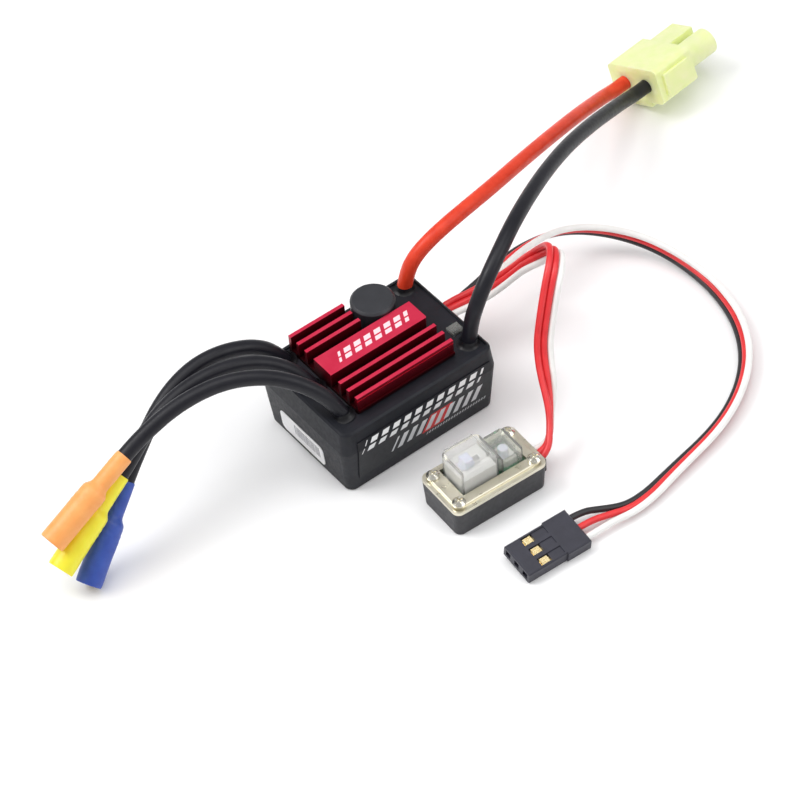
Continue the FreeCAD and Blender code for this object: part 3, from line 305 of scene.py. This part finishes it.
def moulded(name, dark, light, roughness, grain_mm=0.16, depth_mm=0.02, **sockets):
    """Moulded plastic or rubber with a fine spark grain, cloudy tone and varied gloss."""
    surface = Surface(name, dark, roughness, **sockets)
    cloud = surface.noise(3.0, 4.0)
    grain = surface.noise(grain_mm, 2.0)
    surface.tint(surface.span(cloud, 0.1, 0.9), dark, light)
    surface.gloss(surface.noise(0.8, 3.0), roughness - 0.06, roughness + 0.08)
    surface.relief(grain, depth_mm, 0.5)
    return surface


def case_plastic():
    """Black case: satin grain and faint handling marks."""
    surface = moulded("case_plastic", (0.009, 0.010, 0.014), (0.014, 0.015, 0.021), 0.44,
                      Specular_IOR_Level=0.24)
    marks = surface.noise(0.5, 6.0, 0.7, surface.stretched((1.0, 0.25, 1.0)))
    surface.relief(surface.ramp(marks, 0.62, 0.72), 0.006, 0.3)
    return surface.material


def slanted_bars(surface, along, across, reach, rows, pitch, duty):
    """Mask of a row of slanted bars, the plain stand-in for a printed mark."""
    shifted = surface.math("SUBTRACT", along, surface.math("MULTIPLY", across, BAR_LEAN))
    phase = surface.math("FRACT", surface.math("DIVIDE", shifted, pitch))
    bars = surface.inside(phase, 0.02, duty, 0.015)
    return surface.both(bars, surface.inside(shifted, *reach, 0.02),
                        surface.inside(across, *rows, 0.02))


def split_bars(surface, bars, across, low, high):
    """The bars with a plain groove cut along the row."""
    groove = surface.inside(across, low, high, 0.03)
    return surface.math("SUBTRACT", bars, surface.both(bars, groove))


def anodised_aluminium():
    """Red anodised extrusion with painted light: a painted highlight on the upward tops, painted
    shade on the sides, darkest towards the gap floors, and pale bars printed on the flat.
    """
    surface = Surface("anodised_red", (0.62, 0.03, 0.07), 0.3, Metallic=0.8)
    lines = surface.noise(0.12, 3.0, 0.6, surface.stretched((0.02, 1.0, 1.0)))
    cloud = surface.span(surface.noise(4.0, 2.0), 0.0, 1.0)
    x, y, z = surface.axes()
    # Painted highlight: faces turned up, high on the fins, get a bright red in place of the light
    # falling on them.
    painted_lit_tops = surface.both(surface.ramp(surface.facing_up(), 0.4, 0.9), surface.ramp(z, 17.5, 19.0))
    painted_highlight_red = surface.mix(cloud, (0.86, 0.035, 0.095), (0.94, 0.055, 0.125))
    # Painted shade: fin sides and gap walls darken towards the gap floor, almost black at the
    # bottom.
    height = surface.ramp(z, SINK_FLOOR, SINK_TOP - 0.1)
    painted_shade_red = surface.mix(height, (0.045, 0.001, 0.004), (0.36, 0.010, 0.028))
    bars = slanted_bars(surface, x, y, (-8.4, 8.0), (-0.1, 2.3), 2.35, 0.66)
    bars = surface.both(surface.ramp(z, SINK_TOP - 0.15, SINK_TOP - 0.05),
                        split_bars(surface, bars, y, 0.85, 1.2))
    # The red mixes the painted shade and the painted highlight according to which way each face
    # turns.
    surface.tint(bars, surface.mix(painted_lit_tops, painted_shade_red, painted_highlight_red), (0.90, 0.66, 0.70))
    surface.gloss(lines, 0.28, 0.36)
    surface.feed(surface.shader.inputs["Metallic"], surface.math("MULTIPLY_ADD", bars, -0.8, 0.8))
    surface.relief(lines, 0.002, 0.2)
    return surface.material


def silicone(name, dark, light, **sockets):
    """Silicone insulation: soft sheen, a slight cloud of tone and specks of dust."""
    surface = moulded(name, dark, light, 0.38, 0.25, 0.006, Specular_IOR_Level=0.3, **sockets)
    dust = surface.ramp(surface.noise(0.35, 5.0, 0.7), 0.70, 0.76)
    fuzz = surface.math("MULTIPLY", dust, 0.12)
    base = surface.shader.inputs["Base Color"].links[0].from_socket
    surface.tint(fuzz, base, tuple(min(1.0, part + 0.22) for part in light))
    return surface.material


def sealing_compound():
    """Sealing compound: black, satin and slightly uneven."""
    surface = Surface("sealing_compound", (0.006, 0.006, 0.008), 0.35, Specular_IOR_Level=0.3)
    swell = surface.noise(1.2, 2.0)
    surface.gloss(swell, 0.26, 0.42)
    surface.tint(surface.noise(0.6), (0.004, 0.004, 0.005), (0.014, 0.014, 0.017))
    surface.relief(swell, 0.05, 0.3)
    return surface.material


def plated(name, dark, light, roughness, grain_mm=0.4):
    """Plated metal with small changes of tone and gloss."""
    surface = Surface(name, light, roughness, Metallic=1.0)
    cloud = surface.noise(grain_mm, 4.0)
    surface.tint(surface.span(cloud, 0.0, 1.0), dark, light)
    surface.gloss(surface.noise(grain_mm * 0.5, 3.0), roughness - 0.06, roughness + 0.10)
    return surface.material


def shrink_tube(name, dark, light):
    """Heat shrink: soft satin with a slight orange-peel and paler stretched places."""
    surface = moulded(name, dark, light, 0.42, 0.5, 0.03, Subsurface_Weight=0.12,
                      Subsurface_Scale=0.001)
    surface.relief(surface.noise(1.6, 2.0), 0.12, 0.35)
    return surface.material


def connector_nylon():
    """Pale yellow-green nylon that lets light through."""
    surface = Surface("connector_nylon", (0.80, 0.95, 0.36), 0.36, Subsurface_Weight=0.5,
                      Subsurface_Scale=0.003, Transmission_Weight=0.15, IOR=1.5)
    surface.shader.inputs["Subsurface Radius"].default_value = (1.0, 1.0, 0.45)
    cloud = surface.noise(2.5, 4.0)
    surface.tint(surface.span(cloud, 0.0, 1.0), (0.86, 0.98, 0.42), (0.94, 1.0, 0.54))
    surface.gloss(surface.noise(0.6), 0.28, 0.42)
    surface.relief(surface.noise(0.6), 0.006, 0.3)
    return surface.material


def frosted_silicone():
    """Milky hood: light passes through it blurred."""
    surface = Surface("frosted_silicone", (0.95, 0.95, 0.94), 0.2, Transmission_Weight=0.86,
                      IOR=1.12)
    cloud = surface.span(surface.noise(1.6, 4.0), 0.0, 1.0)
    surface.tint(cloud, (0.93, 0.93, 0.92), (0.97, 0.97, 0.96))
    surface.gloss(surface.noise(0.8), 0.16, 0.24)
    return surface.material


def clear_plastic():
    """Clear moulding with faint flow marks."""
    surface = Surface("clear_plastic", (0.94, 0.95, 0.92), 0.2, Transmission_Weight=0.86, IOR=1.15)
    flow = surface.noise(1.5, 3.0)
    surface.tint(surface.span(flow, 0.0, 1.0), (0.90, 0.92, 0.87), (0.97, 0.97, 0.95))
    surface.gloss(flow, 0.14, 0.22)
    return surface.material


def circuit_board():
    """Green solder mask over tracks, with tinned spots."""
    surface = Surface("circuit_board", (0.03, 0.25, 0.11), 0.3, Coat_Weight=0.4)
    cells = surface.node("TexBrick", Vector=surface.stretched((1.0, 1.0, 0.01)), Scale=420.0)
    cells.inputs["Mortar Size"].default_value = 0.08
    spots = surface.ramp(surface.noise(0.9, 0.0), 0.68, 0.70)
    green = surface.mix(cells.outputs["Fac"], (0.02, 0.20, 0.09), (0.05, 0.34, 0.16))
    surface.tint(spots, green, (0.75, 0.72, 0.62))
    surface.gloss(surface.noise(0.5), 0.22, 0.38)
    surface.relief(cells.outputs["Fac"], 0.03, 0.5)
    return surface.material


def label_panel():
    """Dark satin label: plain slanted bars in silver and a red block, and no lettering."""
    surface = Surface("label_panel", (0.010, 0.011, 0.015), 0.36, Specular_IOR_Level=0.24)
    x, _, z = surface.axes()
    upper = slanted_bars(surface, x, z, (-19.4, 8.4), (9.8, 12.7), 2.6, 0.62)
    upper = split_bars(surface, upper, z, 11.0, 11.5)
    lower = slanted_bars(surface, x, z, (-10.2, 10.9), (5.1, 8.4), 2.2, 0.56)
    fine = slanted_bars(surface, x, z, (-1.2, 12.9), (3.7, 4.3), 0.66, 0.55)
    lean = surface.math("SUBTRACT", x, surface.math("MULTIPLY", z, BAR_LEAN))
    block = surface.both(surface.inside(lean, -2.7, 2.6, 0.02), surface.inside(z, 4.7, 8.8, 0.02))
    cloud = surface.span(surface.noise(2.0), 0.0, 1.0)
    ground = surface.mix(cloud, (0.009, 0.010, 0.013), (0.015, 0.016, 0.020))
    red = surface.mix(block, ground, (0.52, 0.02, 0.02))
    silver = surface.mix(surface.ramp(z, 7.0, 12.0), (0.55, 0.56, 0.58), (0.86, 0.86, 0.87))
    printed = surface.either(upper, lower, surface.math("MULTIPLY", fine, 0.7))
    surface.tint(printed, red, silver)
    surface.gloss(surface.noise(0.7), 0.30, 0.42)
    surface.relief(surface.noise(0.3), 0.004, 0.3)
    return surface.material


def paper_label():
    """White label with a plain block of uneven upright bars."""
    surface = Surface("paper_label", (0.88, 0.88, 0.88), 0.5)
    bar_pitch = 0.42
    _, y, z = surface.axes()
    wave = surface.node("TexNoise", Vector=surface.stretched((0.0, 1.0, 0.0)), Scale=2600.0)
    phase = surface.math("FRACT", surface.math("DIVIDE", y, bar_pitch))
    bars = surface.math("LESS_THAN", phase, surface.span(wave.outputs["Fac"], 0.35, 0.75))
    field = surface.both(surface.inside(y, -4.3, 3.6, 0.02), surface.inside(z, 3.1, 5.9, 0.02))
    cloud = surface.span(surface.noise(1.5), 0.0, 1.0)
    paper = surface.mix(cloud, (0.82, 0.82, 0.83), (0.90, 0.90, 0.90))
    surface.tint(surface.both(bars, field), paper, (0.16, 0.16, 0.18))
    surface.gloss(surface.noise(0.4), 0.4, 0.55)
    surface.relief(surface.noise(0.15), 0.006, 0.4)
    return surface.material


def make_materials():
    """Every material by the name of the record's slot."""
    return {
        "case": case_plastic(),
        "anodised": anodised_aluminium(),
        "cap_skin": moulded("capacitor_cap_skin", (0.016, 0.017, 0.022), (0.024, 0.025, 0.031),
                            0.44, 0.12, 0.008).material,
        "can": plated("capacitor_can_metal", (0.62, 0.62, 0.63), (0.80, 0.80, 0.81), 0.28),
        "black_silicone": silicone("black_silicone", (0.007, 0.007, 0.011), (0.011, 0.011, 0.016)),
        "red_silicone": silicone("red_silicone", (0.62, 0.035, 0.012), (0.80, 0.065, 0.025),
                                 Subsurface_Weight=0.1, Subsurface_Scale=0.001),
        "sealant": sealing_compound(),
        "brass": plated("gold_plated_brass", (0.78, 0.58, 0.26), (0.95, 0.82, 0.50), 0.2),
        "orange_shrink": shrink_tube("orange_shrink", (0.88, 0.33, 0.08), (0.95, 0.41, 0.13)),
        "yellow_shrink": shrink_tube("yellow_shrink", (0.86, 0.74, 0.02), (0.95, 0.86, 0.05)),
        "blue_shrink": shrink_tube("blue_shrink", (0.022, 0.06, 0.34), (0.04, 0.10, 0.46)),
        "nylon": connector_nylon(),
        "black_pvc": moulded("black_strand", (0.016, 0.016, 0.018), (0.028, 0.028, 0.031), 0.38,
                             0.3, 0.01).material,
        "red_pvc": moulded("red_strand", (0.66, 0.022, 0.028), (0.80, 0.04, 0.045), 0.36, 0.3,
                           0.01, Subsurface_Weight=0.08, Subsurface_Scale=0.001).material,
        "white_pvc": moulded("white_strand", (0.80, 0.79, 0.77), (0.90, 0.90, 0.88), 0.4, 0.3,
                             0.01).material,
        "plug_plastic": moulded("plug_plastic", (0.022, 0.022, 0.034), (0.032, 0.032, 0.048),
                                0.42, 0.14, 0.008).material,
        "switch_black": moulded("switch_tray", (0.014, 0.014, 0.018), (0.022, 0.022, 0.027),
                                0.44, 0.2, 0.012).material,
        "plate": plated("champagne_plate", (0.70, 0.66, 0.52), (0.76, 0.72, 0.60), 0.3, 3.0),
        "screw": plated("nickel_screw", (0.70, 0.67, 0.58), (0.82, 0.80, 0.73), 0.2, 1.2),
        "frosted": frosted_silicone(),
        "clear": clear_plastic(),
        "board_green": circuit_board(),
        "chip": moulded("chip_body", (0.018, 0.018, 0.020), (0.03, 0.03, 0.033), 0.5, 0.1).material,
        "gap_pad": moulded("gap_pad", (0.45, 0.52, 0.60), (0.58, 0.65, 0.72), 0.6, 0.2).material,
        "knob": moulded("slide_knob_plastic", (0.68, 0.70, 0.88), (0.80, 0.82, 0.96), 0.3,
                        0.2, 0.01, Subsurface_Weight=0.2, Subsurface_Scale=0.001).material,
        "switch_white": moulded("switch_white_plastic", (0.74, 0.74, 0.72), (0.82, 0.82, 0.80), 0.45,
                                0.2, 0.008).material,
        "label_dark": label_panel(),
        "label_white": paper_label(),
    }


# ---------------------------------------------------------------- CAD nodes

# Width in millimetres of the rounding put on the edges of these nodes.
SOFT_EDGES = {"heatsink": 0.10, "case_base": 0.14, "case_cover": 0.14, "capacitor_cap": 0.12,
              "receiver_plug": 0.07, "switch_base": 0.12, "battery_connector": 0.25,
              "ribbon_grommet": 0.15, "switch_gland": 0.15, "slide_knob": 0.12}
EDGE_ANGLE = math.radians(32)
EDGE_STEPS = 3
WELD_GAP = 0.001


def soften_edges(node, width):
    """Round a CAD node's edges with modifiers, which leave its own vertices as they are."""
    mesh = node.data
    custom = mesh.attributes.get("custom_normal")
    if custom:
        mesh.attributes.remove(custom)
    mesh.polygons.foreach_set("use_smooth", [True] * len(mesh.polygons))
    weld = node.modifiers.new("weld", "WELD")
    weld.merge_threshold = WELD_GAP * MM
    bevel = node.modifiers.new("soft_edges", "BEVEL")
    bevel.width = width * MM
    bevel.segments = EDGE_STEPS
    bevel.limit_method = "ANGLE"
    bevel.angle_limit = EDGE_ANGLE
    normals = node.modifiers.new("flat_faces", "WEIGHTED_NORMAL")
    normals.keep_sharp = False


def dress_nodes(materials):
    """Give every CAD node the material of its slot in the record, and soft edges to some."""
    for subpart in frame["record"]["subparts"]:
        node = frame["nodes"][subpart["node"]]
        node.data.materials.clear()
        node.data.materials.append(materials[subpart["material_slot"]])
        if node.name in SOFT_EDGES:
            soften_edges(node, SOFT_EDGES[node.name])


# ---------------------------------------------------------------- Blender pieces

SLEEVE_SLIM = 1.68      # outer radius over the lead
SLEEVE_GROWTH = 0.82    # further radius over the socket
SLEEVE_BORES = (1.52, 2.27)
SOCKET_COVER = 11.5     # length of the wide part
SLEEVE_STEP = 1.6       # length of the change between the two
SLEEVE_RINGS = 60
# The fillet of compound round a lead: radius and height pairs.
SEAL_PROFILE = ((2.35, 0.0), (2.15, 0.14), (1.9, 0.32), (1.72, 0.58), (1.6, 0.92), (1.5, 1.15),
                (1.3, 0.9), (1.3, 0.0))


def turned_point(radius, height, angle, bump, seed):
    """A point of a turned shape, moved in or out a little so that the shape is uneven."""
    spot = Vector((math.cos(angle) * 0.8, math.sin(angle) * 0.8, height * 0.45 + seed))
    swollen = radius * (1.0 + bump * noise.noise(spot))
    return Vector((swollen * math.cos(angle), swollen * math.sin(angle), height))


def lathe(name, profile, origin, axis, material, bump, sides, seed):
    """A turned piece: a closed run of radius and height pairs swept round an axis."""
    turn = Vector(axis).normalized().to_track_quat("Z", "Y").to_matrix()
    angles = [2 * math.pi * i / sides for i in range(sides)]
    shape = bmesh.new()
    rings = []
    for radius, height in profile:
        points = [turned_point(radius, height, angle, bump, seed) for angle in angles]
        rings.append([shape.verts.new((Vector(origin) + turn @ point) * MM) for point in points])
    for lower, upper in zip(rings, rings[1:] + rings[:1]):
        for i in range(sides):
            j = (i + 1) % sides
            shape.faces.new((lower[i], lower[j], upper[j], upper[i]))
    bmesh.ops.recalc_face_normals(shape, faces=shape.faces)
    mesh = bpy.data.meshes.new(name)
    shape.to_mesh(mesh)
    shape.free()
    mesh.polygons.foreach_set("use_smooth", [True] * len(mesh.polygons))
    mesh.set_sharp_from_angle(angle=math.radians(50))
    mesh.materials.append(material)
    piece = bpy.data.objects.new(name, mesh)
    SCENE.collection.objects.link(piece)
    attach(piece, "root")
    return piece


def sleeve_profile(length, phase):
    """Radius and height pairs of a shrunk sleeve, with creases where it is drawn over the step."""
    step = length - SOCKET_COVER - SLEEVE_STEP
    outer = []
    for i in range(SLEEVE_RINGS + 1):
        along = length * i / SLEEVE_RINGS
        rise = min(1.0, max(0.0, (along - step + 0.4) / 1.8))
        ease = rise * rise * (3 - 2 * rise)
        crease = math.exp(-((along - step - 3.0) / 2.2) ** 2)
        ripple = 0.035 * math.sin(along * 5.2 + phase) * crease
        outer.append((SLEEVE_SLIM + SLEEVE_GROWTH * ease + ripple, along))
    outer[0] = (SLEEVE_SLIM - 0.08, 0.0)
    outer[-1] = (outer[-1][0] - 0.08, length)
    slim, wide = SLEEVE_BORES
    return outer + [(wide, length - 0.02), (wide, step + 1.7), (slim, step + 1.5), (slim, 0.02)]


def add_sleeve(name, materials):
    """Heat-shrink sleeve: slim over the lead, then drawn over the wider bullet socket."""
    back, mouth, colour = SLEEVES[name]
    axis = Vector(mouth) - Vector(back)
    piece = lathe(f"{colour}_shrink_tube", sleeve_profile(axis.length, ord(name)), back, axis,
                  materials[f"{colour}_shrink"], 0.02, 72, ord(name) * 3.7)
    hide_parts(f"{colour}_sleeve")
    return piece


def add_seals(materials):
    """Menisci of compound where each power lead leaves the deck."""
    sunk = 0.12
    for i, route in enumerate((*MOTOR_ROUTES.values(), *BATTERY_ROUTES.values())):
        start = Vector(route[0])
        lean = (Vector(route[1]) - start).normalized()
        foot = start + lean * ((DECK - start.z) / lean.z)
        axis = (lean + Vector((0, 0, 1.5))).normalized()
        piece = lathe(f"lead_seal_{i}", SEAL_PROFILE, foot - axis * sunk, axis,
                      materials["sealant"], 0.05, 64, i * 5.0)
    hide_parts("lead_seals")


def add_cords(materials):
    """All power leads, with the motor leads' sleeves, and the ribbon strands."""
    for name, route in MOTOR_ROUTES.items():
        back, mouth, _ = SLEEVES[name]
        sleeve = add_sleeve(name, materials)
        along = (Vector(mouth) - Vector(back)).normalized() * LEAD_INSIDE_SLEEVE
        ends = [Vector(back) - along, Vector(back) + along]
        add_cord("motor_lead_" + name, route + ends, LEAD_DIAMETER,
                 materials["black_silicone"])
    for name, route in BATTERY_ROUTES.items():
        add_cord("battery_lead_" + name, route, LEAD_DIAMETER,
                 materials[name + "_silicone"])
    for ribbon, far_end, length, strands in RIBBONS:
        for (name, colour), route in zip(strands.items(), strand_routes(ribbon)):
            add_cord(name, route, STRAND_DIAMETER,
                     materials[colour + "_pvc"])


# ---------------------------------------------------------------- floor and light

# Each light's place in metres, the side of its square and its power in watts.
LIGHTS = {"key": ((-0.5, 0.35, 0.75), 0.5, 5.0),
          "fill": ((0.45, -0.6, 0.6), 0.6, 2.2),
          "top": ((0.0, 0.0, 0.9), 0.7, 3.0)}
WORLD_STRENGTH = 0.50


def add_floor():
    """Plain pale floor, just under the object."""
    bpy.ops.mesh.primitive_plane_add(size=6.0, location=(0, 0, -0.00005))
    floor = bpy.context.object
    floor.name = "floor"
    surface = Surface("floor_paper", (0.95, 0.95, 0.955), 0.8, Specular_IOR_Level=0.2)
    surface.tint(surface.noise(40.0), (0.945, 0.945, 0.95), (0.955, 0.955, 0.96))
    floor.data.materials.append(surface.material)


def add_light(name, place, size, power):
    """Soft square light aimed at the object."""
    data = bpy.data.lights.new(name, "AREA")
    data.shape = "SQUARE"
    data.size = size
    data.energy = power
    light = bpy.data.objects.new(name, data)
    light.location = place
    aim = (Vector((0, 0, 0.01)) - Vector(place)).to_track_quat("-Z", "Y")
    light.rotation_euler = aim.to_euler()
    SCENE.collection.objects.link(light)


def add_lights():
    """Even white surroundings with three large soft lights."""
    world = bpy.data.worlds.new("studio")
    world.use_nodes = True
    background = world.node_tree.nodes["Background"]
    background.inputs["Color"].default_value = (1.0, 1.0, 1.0, 1.0)
    background.inputs["Strength"].default_value = WORLD_STRENGTH
    SCENE.world = world
    for name, (place, size, power) in LIGHTS.items():
        add_light(name, place, size, power)
    SCENE.view_settings.view_transform = "Standard"


def main():
    """Camera and cords first, then the CAD nodes' finishes, the stage and the light."""
    add_camera()
    materials = make_materials()
    add_cords(materials)
    add_seals(materials)
    dress_nodes(materials)
    add_floor()
    add_lights()


main()
